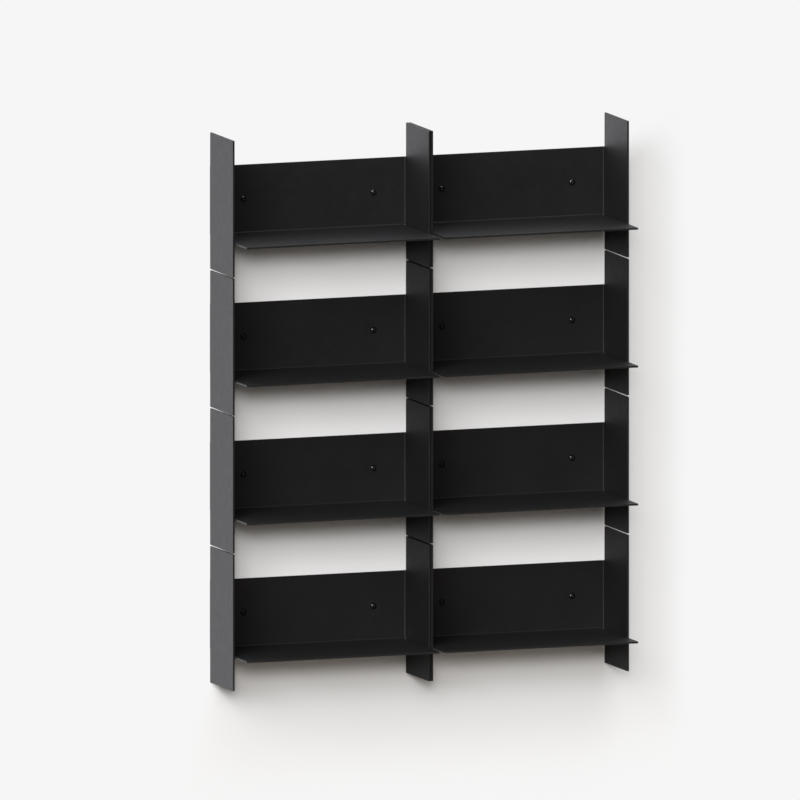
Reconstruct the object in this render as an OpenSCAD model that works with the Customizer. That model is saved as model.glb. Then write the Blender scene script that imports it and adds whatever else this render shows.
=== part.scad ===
// Wall bookshelf of eight equal steel units, two side by side and four high.
// Each unit is one folded sheet: a back panel against the wall, a shelf folded
// forward from its lower edge and a side cheek folded forward from each end.
// Two dome-head screws hold each unit on the wall.
// Millimetres. +Z is up, -Y is the room side, and the wall's surface is y = 0.
// The origin is the centre of the grid of wall screws, on the wall's surface.

/* [Shelf unit] */
// Width of a unit over its two cheeks
unit_w = 450; // [250:1:900]
// Height of the side cheeks
cheek_h = 295; // [240:1:500]
// Distance of the cheeks' front edges from the wall
cheek_front = 150; // [60:1:350]
// Distance of the shelf's front edge from the wall
shelf_front = 222; // [60:1:350]
// Height of the shelf's top face above the cheeks' lower ends
shelf_z = 74; // [15:1:140]
// Height of the back panel above the shelf's top face
back_h = 147; // [50:1:210]

/* [Sheet metal] */
// Thickness of the steel sheet
sheet_t = 4; // [1.5:0.1:6]
// Inside radius of the folds
fold_r = 3; // [1:0.1:6]
// Clearance between each side edge of the shelf and the cheek beside it
side_clearance = 1; // [0.3:0.1:4]
// Width of the relief slits at the ends of the shelf's fold
relief_w = 1; // [0.4:0.1:4]
// Radius of the free corners of the cheeks and of the shelf
corner_r = 1.5; // [0.2:0.1:8]

/* [Arrangement] */
// Gap between two units side by side
column_gap = 2; // [0.5:0.5:40]
// Gap between two units one above the other
row_gap = 3; // [0.5:0.5:60]

/* [Screw holes] */
// Distance of each hole from the outer face of the nearer cheek
hole_inset = 77; // [20:0.5:110]
// Clearance of a hole round the screw's neck, on the radius
hole_clearance = 0.25; // [0.1:0.05:1]

/* [Screws] */
// Diameter of the screw's neck, where it passes through the sheet
neck_d = 6.5; // [5:0.1:8]
// Outer diameter of the screw's thread
thread_d = 6; // [4:0.1:8]
// Length of the screw behind the sheet, tip included
thread_len = 50; // [25:1:90]
// Length of the screw's tapered tip
tip_len = 8; // [3:0.5:12]
// Diameter of the flat end of the tip
tip_d = 1.2; // [0.5:0.1:2.5]
// Diameter of the domed head
head_d = 14; // [11:0.1:20]
// Height of the domed head
head_h = 4.5; // [3.5:0.1:6.5]
// Height of the head's upright rim, under the dome
head_rim = 0.6; // [0.2:0.1:1.2]
// Size of the hexagon socket across its flats
socket_af = 4; // [3:0.5:6]
// Depth of the hexagon socket
socket_depth = 2.6; // [1.5:0.1:3]

/* [Hidden] */
COLUMNS = ["left", "right"];
ROWS = ["bottom", "lower", "upper", "top"];
HOLES = [1, 2];

$fn = 64;
SMALL = 0.01;

// Outside radius of the folds, and so the reach of a fold past a flat face's end
fold_out = fold_r + sheet_t;
// Level of the screw holes above the cheeks' lower ends
hole_z = shelf_z + back_h / 2;
hole_x = [hole_inset, unit_w - hole_inset];
hole_r = neck_d / 2 + hole_clearance;

column_pitch = unit_w + column_gap;
row_pitch = cheek_h + row_gap;
grid_x = ((len(COLUMNS) - 1) * column_pitch + unit_w) / 2;
grid_z = (len(ROWS) - 1) * row_pitch / 2 + hole_z;

POWDER_BLACK = "#2b2c2e";
SCREW_BLACK = "#141415";

// Rectangle whose corners are rounded where the flags in round_at say so,
// in the order lower left, lower right, upper right, upper left
module rounded_sheet(size, r, round_at = [true, true, true, true]) {
    corners = [[0, 0], [1, 0], [1, 1], [0, 1]];
    difference() {
        square(size);
        for (i = [0 : 3])
            if (round_at[i])
                translate([corners[i].x * size.x, corners[i].y * size.y])
                    mirror([corners[i].x, 0])
                        mirror([0, corners[i].y])
                            difference() {
                                translate([-SMALL, -SMALL]) square(r + SMALL);
                                translate([r, r]) circle(r);
                            }
    }
}

// Quarter ring of sheet along +Z, round the Z axis, from the +Y side to the -X side
module fold(length) {
    rotate([0, 0, 90])
        rotate_extrude(angle = 90)
            translate([fold_r, 0]) square([sheet_t, length]);
}

// Cheek on the left of a unit, in the unit's own frame
module cheek() {
    translate([sheet_t, -fold_out, 0])
        rotate([90, 0, -90])
            linear_extrude(sheet_t)
                rounded_sheet([cheek_front - fold_out, cheek_h], corner_r);
}

// Fold between the left cheek and the back panel
module cheek_fold() {
    translate([fold_out, -fold_out, shelf_z]) fold(back_h);
}

// Fold between the back panel and the shelf, short of the cheeks' folds by the relief slits
module shelf_fold() {
    start = fold_out + relief_w;
    translate([unit_w - start, -fold_out, shelf_z + fold_r])
        rotate([0, -90, 0])
            fold(unit_w - 2 * start);
}

module shelf() {
    shelf_w = unit_w - 2 * (sheet_t + side_clearance);
    translate([sheet_t + side_clearance, -shelf_front, shelf_z - sheet_t])
        linear_extrude(sheet_t)
            rounded_sheet([shelf_w, shelf_front - fold_out], corner_r, [true, true, false, false]);
}

module back_panel() {
    translate([fold_out, -sheet_t, shelf_z + fold_r])
        cube([unit_w - 2 * fold_out, sheet_t, back_h - fold_r]);
}

// Screw holes, and the round upper ends of the relief slits
module panel_cuts() {
    for (x = hole_x)
        translate([x, SMALL, hole_z])
            rotate([90, 0, 0]) cylinder(h = sheet_t + 2 * SMALL, r = hole_r);
    for (x = [fold_out + relief_w / 2, unit_w - fold_out - relief_w / 2])
        translate([x, SMALL, shelf_z + fold_r])
            rotate([90, 0, 0]) cylinder(h = sheet_t + 2 * SMALL, d = relief_w);
}

// One shelf unit, folded from one sheet, with its left cheek's lower end at x = 0, z = 0
module shelf_unit() {
    difference() {
        union() {
            for (right = [0, 1])
                translate([right * unit_w, 0, 0])
                    mirror([right, 0, 0]) {
                        cheek();
                        cheek_fold();
                    }
            back_panel();
            shelf_fold();
            shelf();
        }
        panel_cuts();
    }
}

// Half outline of the domed head, whose underside is at y = 0
module head_outline() {
    dome_h = head_h - head_rim;
    dome_r = (pow(head_d / 2, 2) + pow(dome_h, 2)) / (2 * dome_h);
    intersection() {
        translate([0, head_h - dome_r]) circle(dome_r);
        square([head_d / 2, head_h]);
    }
}

// Half outline of the shank, from the tip's flat end up into the head
module shank_outline() {
    tip_z = -sheet_t - thread_len;
    polygon([
        [0, tip_z],
        [tip_d / 2, tip_z],
        [thread_d / 2, tip_z + tip_len],
        [thread_d / 2, -sheet_t],
        [neck_d / 2, -sheet_t],
        [neck_d / 2, head_rim],
        [0, head_rim]
    ]);
}

// Wall screw with its head's underside at z = 0 and its head on the +Z side
module screw() {
    difference() {
        rotate_extrude() {
            head_outline();
            shank_outline();
        }
        translate([0, 0, head_h - socket_depth])
            cylinder(h = head_h, d = socket_af / cos(30), $fn = 6);
    }
}

// Places what belongs to the unit in the given column and row
module at_unit(column, row) {
    translate([column * column_pitch - grid_x, 0, row * row_pitch - grid_z])
        children();
}

for (c = [0 : len(COLUMNS) - 1], r = [0 : len(ROWS) - 1]) {
    color(POWDER_BLACK) at_unit(c, r) shelf_unit();
    for (h = HOLES)
        color(SCREW_BLACK) at_unit(c, r)
                translate([hole_x[h - 1], -sheet_t, hole_z]) rotate([90, 0, 0]) screw();
}
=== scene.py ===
import math

import bmesh
import bpy
from mathutils import Matrix, Vector


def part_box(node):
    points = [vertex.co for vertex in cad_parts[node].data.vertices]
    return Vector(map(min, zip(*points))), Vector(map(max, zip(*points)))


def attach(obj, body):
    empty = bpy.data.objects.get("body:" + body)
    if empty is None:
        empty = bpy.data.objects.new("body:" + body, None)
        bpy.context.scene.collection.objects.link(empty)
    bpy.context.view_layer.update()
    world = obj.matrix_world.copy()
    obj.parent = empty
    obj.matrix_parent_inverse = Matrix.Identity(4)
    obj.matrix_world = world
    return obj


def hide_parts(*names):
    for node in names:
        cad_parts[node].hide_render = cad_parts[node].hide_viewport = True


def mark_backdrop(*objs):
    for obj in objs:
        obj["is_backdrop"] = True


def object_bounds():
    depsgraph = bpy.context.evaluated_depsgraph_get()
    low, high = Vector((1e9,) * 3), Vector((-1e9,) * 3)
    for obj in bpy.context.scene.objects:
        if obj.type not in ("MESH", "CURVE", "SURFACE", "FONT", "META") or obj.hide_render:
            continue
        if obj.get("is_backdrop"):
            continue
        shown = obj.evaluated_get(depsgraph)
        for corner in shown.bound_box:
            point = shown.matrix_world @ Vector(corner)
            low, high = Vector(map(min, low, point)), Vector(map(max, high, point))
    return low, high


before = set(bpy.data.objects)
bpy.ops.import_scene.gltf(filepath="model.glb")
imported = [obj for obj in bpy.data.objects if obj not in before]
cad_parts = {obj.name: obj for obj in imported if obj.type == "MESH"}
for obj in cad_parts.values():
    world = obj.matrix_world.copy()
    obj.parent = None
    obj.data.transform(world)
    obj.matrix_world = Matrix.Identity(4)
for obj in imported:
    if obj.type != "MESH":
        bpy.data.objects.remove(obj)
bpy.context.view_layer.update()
scene = bpy.context.scene
MM = 0.001

UNITS = sorted(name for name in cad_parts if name.startswith("unit_"))
SCREWS = sorted(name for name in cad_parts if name.startswith("screw_"))

# The photograph's view: a parallel one from the left and a little above
VIEW_AZIMUTH = math.radians(-20)
VIEW_ELEVATION = math.radians(8)
VIEW_WIDTH = 1.7117
VIEW_TARGET = Vector((-0.016, 0, -0.0057))
VIEW_DISTANCE = 4
VIEW_NEAREST = 0.05
VIEW_FARTHEST = 40

# The plain background tone, in which the wall, the floor and the world meet
BACKGROUND = 0.92

# Where the wall and the floor are, and how far they reach from the middle. The wall stands WALL_GAP
# clear of the panels' rear faces.
WALL_GAP = 0.5 * MM
FLOOR_LEVEL = -1.6
STAGE_HALF = 5

# The wall that the shelves hang on. The camera sees the white WALL_BEHIND behind the object and
# WALL_ROUND on the right and below, a lighter white behind the object that paints its shade
# lighter there than round it, and other rays get WALL_BOUNCE from it. Reflections show
# WALL_MIRRORED where the camera sees the plain background. Between the outer cheeks, WALL_BOUNCE
# takes the share MIRRORED_PAINTED_SHADE of it, which paints shade into the cheeks' reflections there.
WALL_BEHIND = 1.0
WALL_ROUND = 0.92
WALL_BOUNCE = 0.30
WALL_MIRRORED = (0.93, 0.93, 0.965, 1)
MIRRORED_PAINTED_SHADE = 0.14

# The floor. The camera sees FLOOR_PALE, and other rays get FLOOR_BOUNCE from it. From the middle
# outwards it fades into the plain background over FLOOR_FADE, of which FLOOR_LEAST is there from
# the start, and out of reflections over FLOOR_MIRRORED.
FLOOR_PALE = 0.95
FLOOR_BOUNCE = (0.29, 0.25, 0.205, 1)
FLOOR_FADE = (0.2, 3.5)
FLOOR_LEAST = 0.4
FLOOR_MIRRORED = (0.7, 1.7)

# The bands of X or Z over which the wall starts and stops showing the object's soft shadow.
# Outside them the glowing plain background is painted over the wall's shade, and within the bands
# it lightens the shadow with painted light. Past SHADE_BESIDE the shadow is weaker by SHADE_PAINTED_LIFT,
# lightened with painted light too. The upper limit slants up right of CORNER_X, and the left one
# slants outwards below CORNER_Z.
SHADE_LEFT = (-0.45, -0.40)
SHADE_BESIDE = (0.44, 0.50)
SHADE_RIGHT = (0.58, 0.65)
SHADE_PAINTED_LIFT = 0.38
SHADE_LOW = (-0.90, -0.72)
SHADE_TOP = (0.42, 0.51)
CORNER_X = 0.45
SLANT_TOP = 0.8
CORNER_Z = -0.55
SLANT_LEFT = 0.3

# The bands over which the wall's white turns from WALL_BEHIND to WALL_ROUND, and so from the painted
# lighter shade behind the object to the darker shade round it
ROUND_RIGHT = (0.46, 0.52)
ROUND_LOW = (-0.62, -0.58)

# The lamps' distance and colours, and the dim light of the room round them
LAMP_DISTANCE = 5
COOL = (0.98, 1.0, 1.03)
WARM = (1.0, 0.985, 0.972)
WORLD_COLOUR = (1.0, 0.88, 0.76, 1)
WORLD_LEVEL = 0.04

# The middle range of a noise, which holds nearly all of it
NOISE_LOW = 0.3
NOISE_HIGH = 0.7

# The units' sheet, the reach of its folds and the limits of a back panel's flat part, as in the
# CAD model, and how far inside them the wall's window ends
SHEET = 4 * MM
FOLD_OUT = 7 * MM
PANEL_LOW = 77 * MM
PANEL_HIGH = 221 * MM
WINDOW_INSET = 3 * MM

# The rounding of the sheet's edges, and the least angle of an edge that gets it. Before it, points
# within WELD_REACH are joined, and so are faces within FLAT_ANGLE.
EDGE_R = 0.35 * MM
EDGE_SEGMENTS = 3
EDGE_ANGLE = math.radians(30)
FLAT_ANGLE = math.radians(0.5)
WELD_REACH = 0.001 * MM

# The points round a screw, divisible by 12 so that some fall on the corners of its hexagon socket,
# and the steps along each turn of the thread and across the dome. Edges past SMOOTH_ANGLE are sharp.
SCREW_TURNS = 60
THREAD_STEPS = 8
DOME_STEPS = 14
SMOOTH_ANGLE = math.radians(40)

# The head and its hexagon socket, as in the CAD model
HEAD_R = 7 * MM
HEAD_H = 4.5 * MM
HEAD_RIM = 0.6 * MM
SOCKET_AF = 4 * MM
SOCKET_DEPTH = 2.6 * MM

# Their finer detail: a rounded rim, and a socket with a raised lip and a shallow cone in its floor
RIM_EDGE = 0.2 * MM
DOME_INSET = 0.06 * MM
SOCKET_MARGIN = 0.5 * MM
SOCKET_LIP = 0.15 * MM
SOCKET_EDGE = 0.1 * MM
CONE_R = 0.4 * MM
CONE_DEPTH = 0.5 * MM

# The neck, thread and tip, as in the CAD model
NECK_R = 3.25 * MM
THREAD_R = 3 * MM
THREAD_LENGTH = 50 * MM
TIP_LENGTH = 8 * MM
TIP_R = 0.6 * MM

# Their finer detail. RIDGE_HALF is half the width of the thread's ridge, as a share of the pitch.
NECK_CHAMFER = 0.3 * MM
NECK_FILLET = 0.1 * MM
CORE_R = 2.1 * MM
THREAD_PITCH = 2.6 * MM
RIDGE_HALF = 0.3


def direction(azimuth, elevation):
    """Unit vector from the object towards that side; azimuth 0 is the room side, and negative is left."""
    return Vector((
        math.sin(azimuth) * math.cos(elevation),
        -math.cos(azimuth) * math.cos(elevation),
        math.sin(elevation),
    ))


def aim(obj, position, target):
    """Places obj at position with its -Z axis towards target."""
    obj.location = position
    obj.rotation_mode = "QUATERNION"
    obj.rotation_quaternion = (target - position).to_track_quat("-Z", "Y")


def add_object(name, data):
    obj = bpy.data.objects.new(name, data)
    scene.collection.objects.link(obj)
    return obj


def new_mesh(name, build):
    """Mesh that the function build makes."""
    mesh = bpy.data.meshes.new(name)
    bm = bmesh.new()
    build(bm)
    bm.to_mesh(mesh)
    bm.free()
    return mesh


# Camera
camera = add_object("camera", bpy.data.cameras.new("camera"))
camera.data.type = "ORTHO"
camera.data.ortho_scale = VIEW_WIDTH
camera.data.clip_start = VIEW_NEAREST
camera.data.clip_end = VIEW_FARTHEST
aim(camera, VIEW_TARGET + VIEW_DISTANCE * direction(VIEW_AZIMUTH, VIEW_ELEVATION), VIEW_TARGET)
scene.camera = camera


# Node trees
class Nodes:
    """Short names for building the node tree of a material or world."""

    def __init__(self, tree, output):
        self.tree = tree
        self.tree.nodes.clear()
        self.output = self.add(output)

    def add(self, kind, **values):
        """Adds a node; values name its properties, or its input sockets with spaces as underscores."""
        node = self.tree.nodes.new(kind)
        for key, value in values.items():
            if hasattr(node, key):
                setattr(node, key, value)
            else:
                node.inputs[key.replace("_", " ")].default_value = value
        return node

    def link(self, out, into):
        self.tree.links.new(out, into)

    def surface(self, shader):
        """Links the shader to the output node."""
        self.link(shader, self.output.inputs["Surface"])


def new_material(name):
    """A new material, and its nodes."""
    material = bpy.data.materials.new(name)
    material.use_nodes = True
    return material, Nodes(material.node_tree, "ShaderNodeOutputMaterial")


def grey(value):
    return (value, value, value, 1)


def math_node(nodes, operation, a, b):
    """Output of a Math node; a and b are sockets or numbers."""
    made = nodes.add("ShaderNodeMath", operation=operation)
    for socket, value in zip(made.inputs, (a, b)):
        if isinstance(value, (int, float)):
            socket.default_value = value
        else:
            nodes.link(value, socket)
    return made.outputs["Value"]


def rise(nodes, value, start, end):
    """Smooth step from 0 at start to 1 at end."""
    made = nodes.add("ShaderNodeMapRange", interpolation_type="SMOOTHSTEP", From_Min=start, From_Max=end)
    nodes.link(value, made.inputs["Value"])
    return made.outputs["Result"]


def fall(nodes, value, start, end):
    """Smooth step from 1 at start to 0 at end."""
    return math_node(nodes, "SUBTRACT", 1, rise(nodes, value, start, end))


def mixed(nodes, share, first, second):
    """Mix of two shaders; share is that of the second."""
    made = nodes.add("ShaderNodeMixShader")
    nodes.link(share, made.inputs["Fac"])
    nodes.link(first, made.inputs[1])
    nodes.link(second, made.inputs[2])
    return made.outputs["Shader"]


def toned(nodes, share, first, second):
    """Mix of two colours; share is that of the second."""
    made = nodes.add("ShaderNodeMix", data_type="RGBA", A=first, B=second)
    nodes.link(share, made.inputs["Factor"])
    return made.outputs["Result"]


def axes_of(nodes, coordinates):
    """The X, Y and Z outputs of that kind of texture coordinates."""
    place = nodes.add("ShaderNodeTexCoord")
    axes = nodes.add("ShaderNodeSeparateXYZ")
    nodes.link(place.outputs[coordinates], axes.inputs["Vector"])
    return axes.outputs


def shown_rays(nodes, path, part):
    """1 for camera rays, part for glossy and transmission rays, and 0 for others."""
    passed = math_node(nodes, "MAXIMUM", path.outputs["Is Glossy Ray"], path.outputs["Is Transmission Ray"])
    passed = math_node(nodes, "MULTIPLY", passed, part)
    return math_node(nodes, "MAXIMUM", path.outputs["Is Camera Ray"], passed)


def from_behind(nodes, path):
    """1 where the camera looks at the surface's back."""
    side = nodes.add("ShaderNodeNewGeometry")
    return math_node(nodes, "MULTIPLY", path.outputs["Is Camera Ray"], side.outputs["Backfacing"])


# The object's materials
def noise(nodes, place, scale, detail=2):
    """3-D noise over the object's own coordinates, with scale in features to the metre."""
    made = nodes.add("ShaderNodeTexNoise", Scale=scale, Detail=detail)
    nodes.link(place.outputs["Object"], made.inputs["Vector"])
    return made.outputs["Fac"]


def between(nodes, value, low, high):
    """Maps a noise's middle range onto low to high."""
    made = nodes.add("ShaderNodeMapRange", From_Min=NOISE_LOW, From_Max=NOISE_HIGH, To_Min=low, To_Max=high)
    nodes.link(value, made.inputs["Value"])
    return made.outputs["Result"]


def black_finish(name, ior, tones, tone_noise, roughness, roughness_noise, bumps):
    """A black finish. Its tone and roughness vary between two values, each by a noise of the given
    scale and detail, and bumps lists each bump's scale, strength and depth, the coarsest first."""
    material, n = new_material(name)
    place = n.add("ShaderNodeTexCoord")
    shader = n.add("ShaderNodeBsdfPrincipled", IOR=ior)
    shade = between(n, noise(n, place, *tone_noise), 0, 1)
    n.link(toned(n, shade, *tones), shader.inputs["Base Color"])
    n.link(between(n, noise(n, place, *roughness_noise), *roughness), shader.inputs["Roughness"])
    normal = None
    for scale, strength, depth in bumps:
        bump = n.add("ShaderNodeBump", Strength=strength, Distance=depth)
        n.link(noise(n, place, scale), bump.inputs["Height"])
        if normal is not None:
            n.link(normal, bump.inputs["Normal"])
        normal = bump.outputs["Normal"]
    n.link(normal, shader.inputs["Normal"])
    n.surface(shader.outputs["BSDF"])
    return material


def powder_coat():
    """Matt near-black powder coat: an orange-peel surface with a finer grain over it."""
    return black_finish(
        "powder_coat_detail",
        ior=1.74,
        tones=((0.0063, 0.0063, 0.0071, 1), (0.0083, 0.0083, 0.0093, 1)),
        tone_noise=(14, 3),
        roughness=(0.46, 0.52),
        roughness_noise=(60, 4),
        bumps=((420, 0.2, 0.05 * MM), (1900, 0.15, 0.02 * MM)),
    )


def screw_black():
    """Glossy black lacquer."""
    return black_finish(
        "screw_black_detail",
        ior=1.75,
        tones=((0.002, 0.002, 0.0021, 1), (0.005, 0.005, 0.0052, 1)),
        tone_noise=(300, 3),
        roughness=(0.04, 0.08),
        roughness_noise=(700, 3),
        bumps=((1400, 0.1, 0.02 * MM),),
    )


# Wall
def shaded_part(nodes, x, z):
    """1 on the part of the wall that shows the object's shadow, and 0 far from it, where the glowing plain
    background is painted over the shade; values between lighten the shadow with painted light.
    """
    past_right = math_node(nodes, "MAXIMUM", math_node(nodes, "SUBTRACT", x, CORNER_X), 0)
    past_low = math_node(nodes, "MAXIMUM", math_node(nodes, "SUBTRACT", CORNER_Z, z), 0)
    top = math_node(nodes, "SUBTRACT", z, math_node(nodes, "MULTIPLY", past_right, SLANT_TOP))
    left = math_node(nodes, "ADD", x, math_node(nodes, "MULTIPLY", past_low, SLANT_LEFT))
    # Beside the object on the right, painted light lifts the shadow by SHADE_PAINTED_LIFT
    beside = math_node(nodes, "MULTIPLY", rise(nodes, x, *SHADE_BESIDE), SHADE_PAINTED_LIFT)
    part = math_node(nodes, "MULTIPLY", rise(nodes, left, *SHADE_LEFT), rise(nodes, z, *SHADE_LOW))
    part = math_node(nodes, "MULTIPLY", part, math_node(nodes, "SUBTRACT", 1, beside))
    part = math_node(nodes, "MULTIPLY", part, fall(nodes, x, *SHADE_RIGHT))
    return math_node(nodes, "MULTIPLY", part, fall(nodes, top, *SHADE_TOP))


def wall_white_painted_shade(nodes, x, z):
    """The wall's white: lighter behind the object, which paints its shade lighter there, and round it the
    tone that matches the plain background.
    """
    around = math_node(nodes, "MAXIMUM", rise(nodes, x, *ROUND_RIGHT), fall(nodes, z, *ROUND_LOW))
    return toned(nodes, around, grey(WALL_BEHIND), grey(WALL_ROUND))


def mirrored_share(nodes, x):
    """Share of the plain background that reflections show: a little less between the outer cheeks, which
    paints shade into the reflections there.
    """
    inside = math_node(nodes, "MULTIPLY", rise(nodes, x, *SHADE_LEFT), fall(nodes, x, *SHADE_BESIDE))
    return math_node(nodes, "SUBTRACT", 1, math_node(nodes, "MULTIPLY", inside, MIRRORED_PAINTED_SHADE))


def wall_white():
    """Matt white wall, plain background away from the object, painted over its shade there, and with
    painted light and shade near the object as set above; a camera behind it sees through it.
    """
    material, n = new_material("wall_white")
    path = n.add("ShaderNodeLightPath")
    axes = axes_of(n, "Object")
    x = axes["X"]
    z = axes["Z"]
    bounce = n.add("ShaderNodeBsdfDiffuse", Color=grey(WALL_BOUNCE))
    white = n.add("ShaderNodeBsdfDiffuse")
    n.link(wall_white_painted_shade(n, x, z), white.inputs["Color"])
    mirrored = n.add("ShaderNodeEmission", Color=WALL_MIRRORED)
    plain = n.add("ShaderNodeEmission", Color=grey(BACKGROUND))
    clear = n.add("ShaderNodeBsdfTransparent")
    matt = mixed(n, path.outputs["Is Camera Ray"], bounce.outputs["BSDF"], white.outputs["BSDF"])
    tone = mixed(n, path.outputs["Is Camera Ray"], mirrored.outputs["Emission"], plain.outputs["Emission"])
    far = math_node(n, "SUBTRACT", 1, shaded_part(n, x, z))
    far = math_node(n, "MULTIPLY", far, shown_rays(n, path, mirrored_share(n, x)))
    n.surface(mixed(n, from_behind(n, path), mixed(n, far, matt, tone), clear.outputs["BSDF"]))
    material.cycles.emission_sampling = "NONE"
    return material


def window(low, high):
    """Left, lower, right and upper limit of the wall's window behind the unit in that box."""
    return (
        low.x + FOLD_OUT + WINDOW_INSET,
        low.z + PANEL_LOW + WINDOW_INSET,
        high.x - FOLD_OUT - WINDOW_INSET,
        low.z + PANEL_HIGH - WINDOW_INSET,
    )


def build_wall(bm):
    """The wall's plane, with a window behind each back panel so that the panels' rear faces get light."""
    windows = [window(*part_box(name)) for name in UNITS]
    xs = sorted({-STAGE_HALF, STAGE_HALF} | {w[0] for w in windows} | {w[2] for w in windows})
    zs = sorted({FLOOR_LEVEL, STAGE_HALF} | {w[1] for w in windows} | {w[3] for w in windows})
    corner = {(i, j): bm.verts.new((x, WALL_GAP, z)) for i, x in enumerate(xs) for j, z in enumerate(zs)}
    for i in range(len(xs) - 1):
        for j in range(len(zs) - 1):
            x = (xs[i] + xs[i + 1]) / 2
            z = (zs[j] + zs[j + 1]) / 2
            if not any(w[0] < x < w[2] and w[1] < z < w[3] for w in windows):
                bm.faces.new([corner[i, j], corner[i + 1, j], corner[i + 1, j + 1], corner[i, j + 1]])


wall = add_object("wall", new_mesh("wall", build_wall))
wall.data.materials.append(wall_white())


# Floor
def floor_pale():
    """Matt pale floor that fades into the plain background, and throws little light up on the object.
    Reflections and glass see it near the object, and the dim room further off, as in the world."""
    material, n = new_material("floor_pale")
    path = n.add("ShaderNodeLightPath")
    pale = n.add("ShaderNodeBsdfDiffuse", Color=grey(FLOOR_PALE))
    bounce = n.add("ShaderNodeBsdfDiffuse", Color=FLOOR_BOUNCE)
    plain = n.add("ShaderNodeEmission", Color=grey(BACKGROUND))
    clear = n.add("ShaderNodeBsdfTransparent")
    place = n.add("ShaderNodeTexCoord")
    flat = n.add("ShaderNodeVectorMath", operation="MULTIPLY")
    flat.inputs[1].default_value = (1, 1, 0)
    n.link(place.outputs["Object"], flat.inputs[0])
    reach = n.add("ShaderNodeVectorMath", operation="LENGTH")
    n.link(flat.outputs["Vector"], reach.inputs[0])
    distance = reach.outputs["Value"]
    far = math_node(n, "MAXIMUM", rise(n, distance, *FLOOR_FADE), FLOOR_LEAST)
    seen = mixed(n, far, pale.outputs["BSDF"], plain.outputs["Emission"])
    shown = shown_rays(n, path, fall(n, distance, *FLOOR_MIRRORED))
    top = mixed(n, shown, bounce.outputs["BSDF"], seen)
    n.surface(mixed(n, from_behind(n, path), top, clear.outputs["BSDF"]))
    material.cycles.emission_sampling = "NONE"
    return material


def build_floor(bm):
    signs = [(-1, -1), (1, -1), (1, 1), (-1, 1)]
    bm.faces.new([bm.verts.new((x * STAGE_HALF, y * STAGE_HALF, FLOOR_LEVEL)) for x, y in signs])


floor = add_object("floor", new_mesh("floor", build_floor))
floor.data.materials.append(floor_pale())
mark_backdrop(wall, floor)


# Light
def sun(name, azimuth, elevation, spread, level, colour=(1, 1, 1)):
    """Distant lamp on that side of the object and spread over so many degrees. It gives a white
    surface that faces it a brightness of level."""
    data = bpy.data.lights.new(name, "SUN")
    data.color = colour
    data.angle = math.radians(spread)
    data.energy = level * math.pi
    lamp = add_object(name, data)
    side = direction(math.radians(azimuth), math.radians(elevation))
    aim(lamp, LAMP_DISTANCE * side, Vector((0, 0, 0)))
    return lamp


# The fill and front lamps shine from the camera's side, and don't show in the black's reflections
sun("key", azimuth=-44, elevation=25, spread=31, level=0.495, colour=COOL)
sun("top", azimuth=-12, elevation=60, spread=45, level=0.165, colour=COOL)
sun("rear", azimuth=160, elevation=20, spread=40, level=0.8)
fill = sun("fill", azimuth=-20, elevation=19, spread=25, level=0.355, colour=WARM)
front = sun("front", azimuth=-20, elevation=14.8, spread=9, level=0.225, colour=WARM)
for lamp in (fill, front):
    lamp.visible_glossy = False


def new_world():
    """Background white for the camera, and for reflections and glass that look behind the wall's plane.
    In front, reflections see the dim light, because the room there is dark in the photograph's panels."""
    world = bpy.data.worlds.new("studio")
    world.use_nodes = True
    n = Nodes(world.node_tree, "ShaderNodeOutputWorld")
    light = n.add("ShaderNodeBackground", Color=WORLD_COLOUR, Strength=WORLD_LEVEL)
    plain = n.add("ShaderNodeBackground", Color=grey(BACKGROUND))
    path = n.add("ShaderNodeLightPath")
    behind = math_node(n, "GREATER_THAN", axes_of(n, "Generated")["Y"], 0)
    shown = shown_rays(n, path, behind)
    n.surface(mixed(n, shown, light.outputs["Background"], plain.outputs["Background"]))
    return world


scene.world = new_world()


# Shelf units: the CAD sheets with their edges rounded
def soften_edges(obj):
    weld = obj.modifiers.new("weld", "WELD")
    weld.merge_threshold = WELD_REACH
    flat = obj.modifiers.new("flat", "DECIMATE")
    flat.decimate_type = "DISSOLVE"
    flat.angle_limit = FLAT_ANGLE
    bevel = obj.modifiers.new("edge", "BEVEL")
    bevel.width = EDGE_R
    bevel.segments = EDGE_SEGMENTS
    bevel.limit_method = "ANGLE"
    bevel.angle_limit = EDGE_ANGLE
    bevel.use_clamp_overlap = False
    obj.modifiers.new("normals", "WEIGHTED_NORMAL")


coat = powder_coat()
for name in UNITS:
    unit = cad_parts[name]
    unit.material_slots[0].material = coat
    soften_edges(unit)


# Screws: domed head with a hexagon socket, neck, thread and tip
def dome_height(r):
    """Height of the head's dome over its underside, at a distance r from the axis."""
    dome_h = HEAD_H - HEAD_RIM
    dome_r = (HEAD_R ** 2 + dome_h ** 2) / (2 * dome_h)
    return HEAD_H - dome_r + math.sqrt(dome_r ** 2 - r ** 2)


def socket_side(angle):
    """Distance from the axis to the side of the hexagon socket, at that angle."""
    part = (angle + math.pi / 6) % (math.pi / 3) - math.pi / 6
    return SOCKET_AF / 2 / math.cos(part)


def lip_side(angle):
    return socket_side(angle) + SOCKET_LIP


def lip_height(angle):
    return dome_height(lip_side(angle))


def thread_radius(angle, z):
    """Distance from the axis to the shank's surface, at that angle and height."""
    turn = (z / THREAD_PITCH - angle / (2 * math.pi)) % 1
    ridge = max(0, 1 - abs(turn - 0.5) / RIDGE_HALF)
    run_out = min(1, (-SHEET - z) / THREAD_PITCH)
    crest = CORE_R + (THREAD_R - CORE_R) * ridge * run_out
    to_end = z + SHEET + THREAD_LENGTH
    return TIP_R + (crest - TIP_R) * min(1, to_end / TIP_LENGTH)


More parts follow.
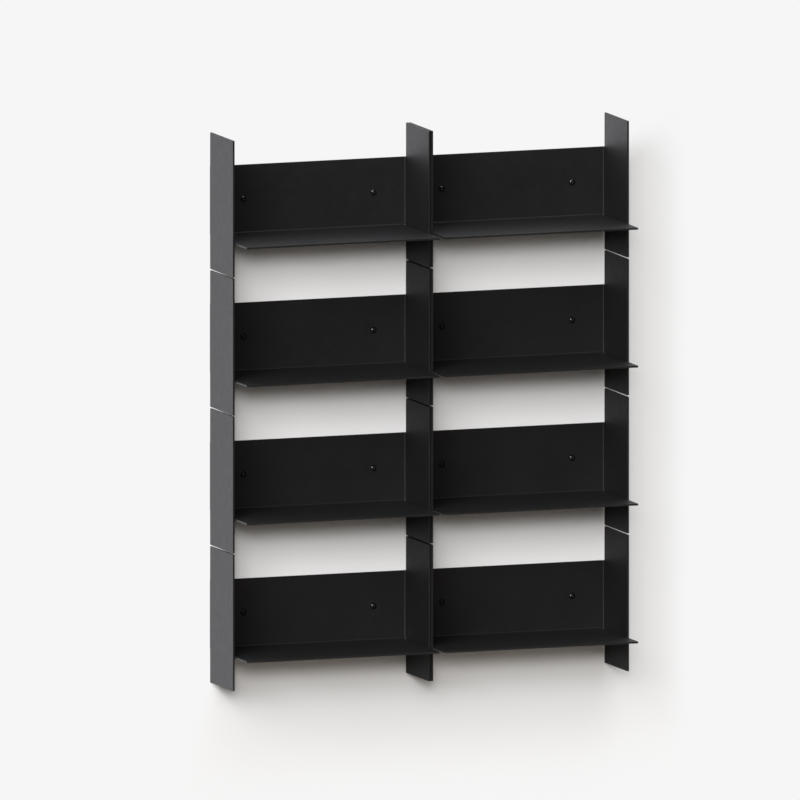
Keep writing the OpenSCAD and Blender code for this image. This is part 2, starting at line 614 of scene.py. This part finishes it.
def ring(bm, radius, height):
    """A closed ring of vertices; radius and height are numbers or functions of the angle."""
    made = []
    for i in range(SCREW_TURNS):
        angle = 2 * math.pi * i / SCREW_TURNS
        r = radius(angle) if callable(radius) else radius
        z = height(angle) if callable(height) else height
        made.append(bm.verts.new((r * math.cos(angle), r * math.sin(angle), z)))
    return made


def shank_rings(bm):
    """From the tip's end up to the top of the thread, at the sheet's rear face."""
    top = -SHEET
    end = top - THREAD_LENGTH
    steps = int(THREAD_LENGTH / THREAD_PITCH * THREAD_STEPS)
    rings = [ring(bm, TIP_R / 2, end)]
    for k in range(1, steps):
        z = end + (top - end) * k / steps
        rings.append(ring(bm, lambda angle: thread_radius(angle, z), z))
    rings.append(ring(bm, CORE_R, top))
    return rings


def neck_rings(bm):
    """From the sheet's rear face up to the head's underside."""
    return [
        ring(bm, NECK_R - NECK_CHAMFER, -SHEET),
        ring(bm, NECK_R, -SHEET + NECK_CHAMFER),
        ring(bm, NECK_R, -NECK_FILLET),
        ring(bm, NECK_R + NECK_FILLET, 0),
    ]


def head_rings(bm):
    """Over the head's rim and dome, in to the margin round its socket."""
    rings = [
        ring(bm, HEAD_R - RIM_EDGE, 0),
        ring(bm, HEAD_R, RIM_EDGE),
        ring(bm, HEAD_R, HEAD_RIM - RIM_EDGE),
    ]
    outer = HEAD_R - DOME_INSET
    inner = socket_side(math.pi / 6) + SOCKET_MARGIN
    for k in range(DOME_STEPS + 1):
        share = k / DOME_STEPS
        r = outer * (1 - share) + inner * share
        rings.append(ring(bm, r, dome_height(r)))
    return rings


def socket_rings(bm):
    """From the socket's raised lip down to the shallow cone in its floor."""
    bottom = HEAD_H - SOCKET_DEPTH
    return [
        ring(bm, lip_side, lip_height),
        ring(bm, socket_side, lambda angle: lip_height(angle) - SOCKET_LIP),
        ring(bm, socket_side, bottom + SOCKET_EDGE),
        ring(bm, lambda angle: socket_side(angle) - SOCKET_EDGE, bottom),
        ring(bm, CONE_R, bottom - CONE_DEPTH),
    ]


def build_screw(bm):
    """One screw, with its head's underside at z = 0 and its head on the +Z side. Quads join each ring
    to the next, and a flat cap closes the first and the last."""
    rings = shank_rings(bm) + neck_rings(bm) + head_rings(bm) + socket_rings(bm)
    for a, b in zip(rings, rings[1:]):
        for i in range(SCREW_TURNS):
            j = (i + 1) % SCREW_TURNS
            bm.faces.new([a[i], a[j], b[j], b[i]])
    bm.faces.new(list(reversed(rings[0])))
    bm.faces.new(rings[-1])
    for face in bm.faces:
        face.smooth = True


screw = new_mesh("screw", build_screw)
screw.materials.append(screw_black())
screw.set_sharp_from_angle(angle=SMOOTH_ANGLE)
for name in SCREWS:
    low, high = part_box(name)
    piece = add_object(name + "_detail", screw)
    axis = Vector(((low.x + high.x) / 2, -SHEET, (low.z + high.z) / 2))
    piece.matrix_world = Matrix.Translation(axis) @ Matrix.Rotation(math.pi / 2, 4, "X")
    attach(piece, "root")
    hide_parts(name)

scene.view_settings.view_transform = "Standard"

low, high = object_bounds()
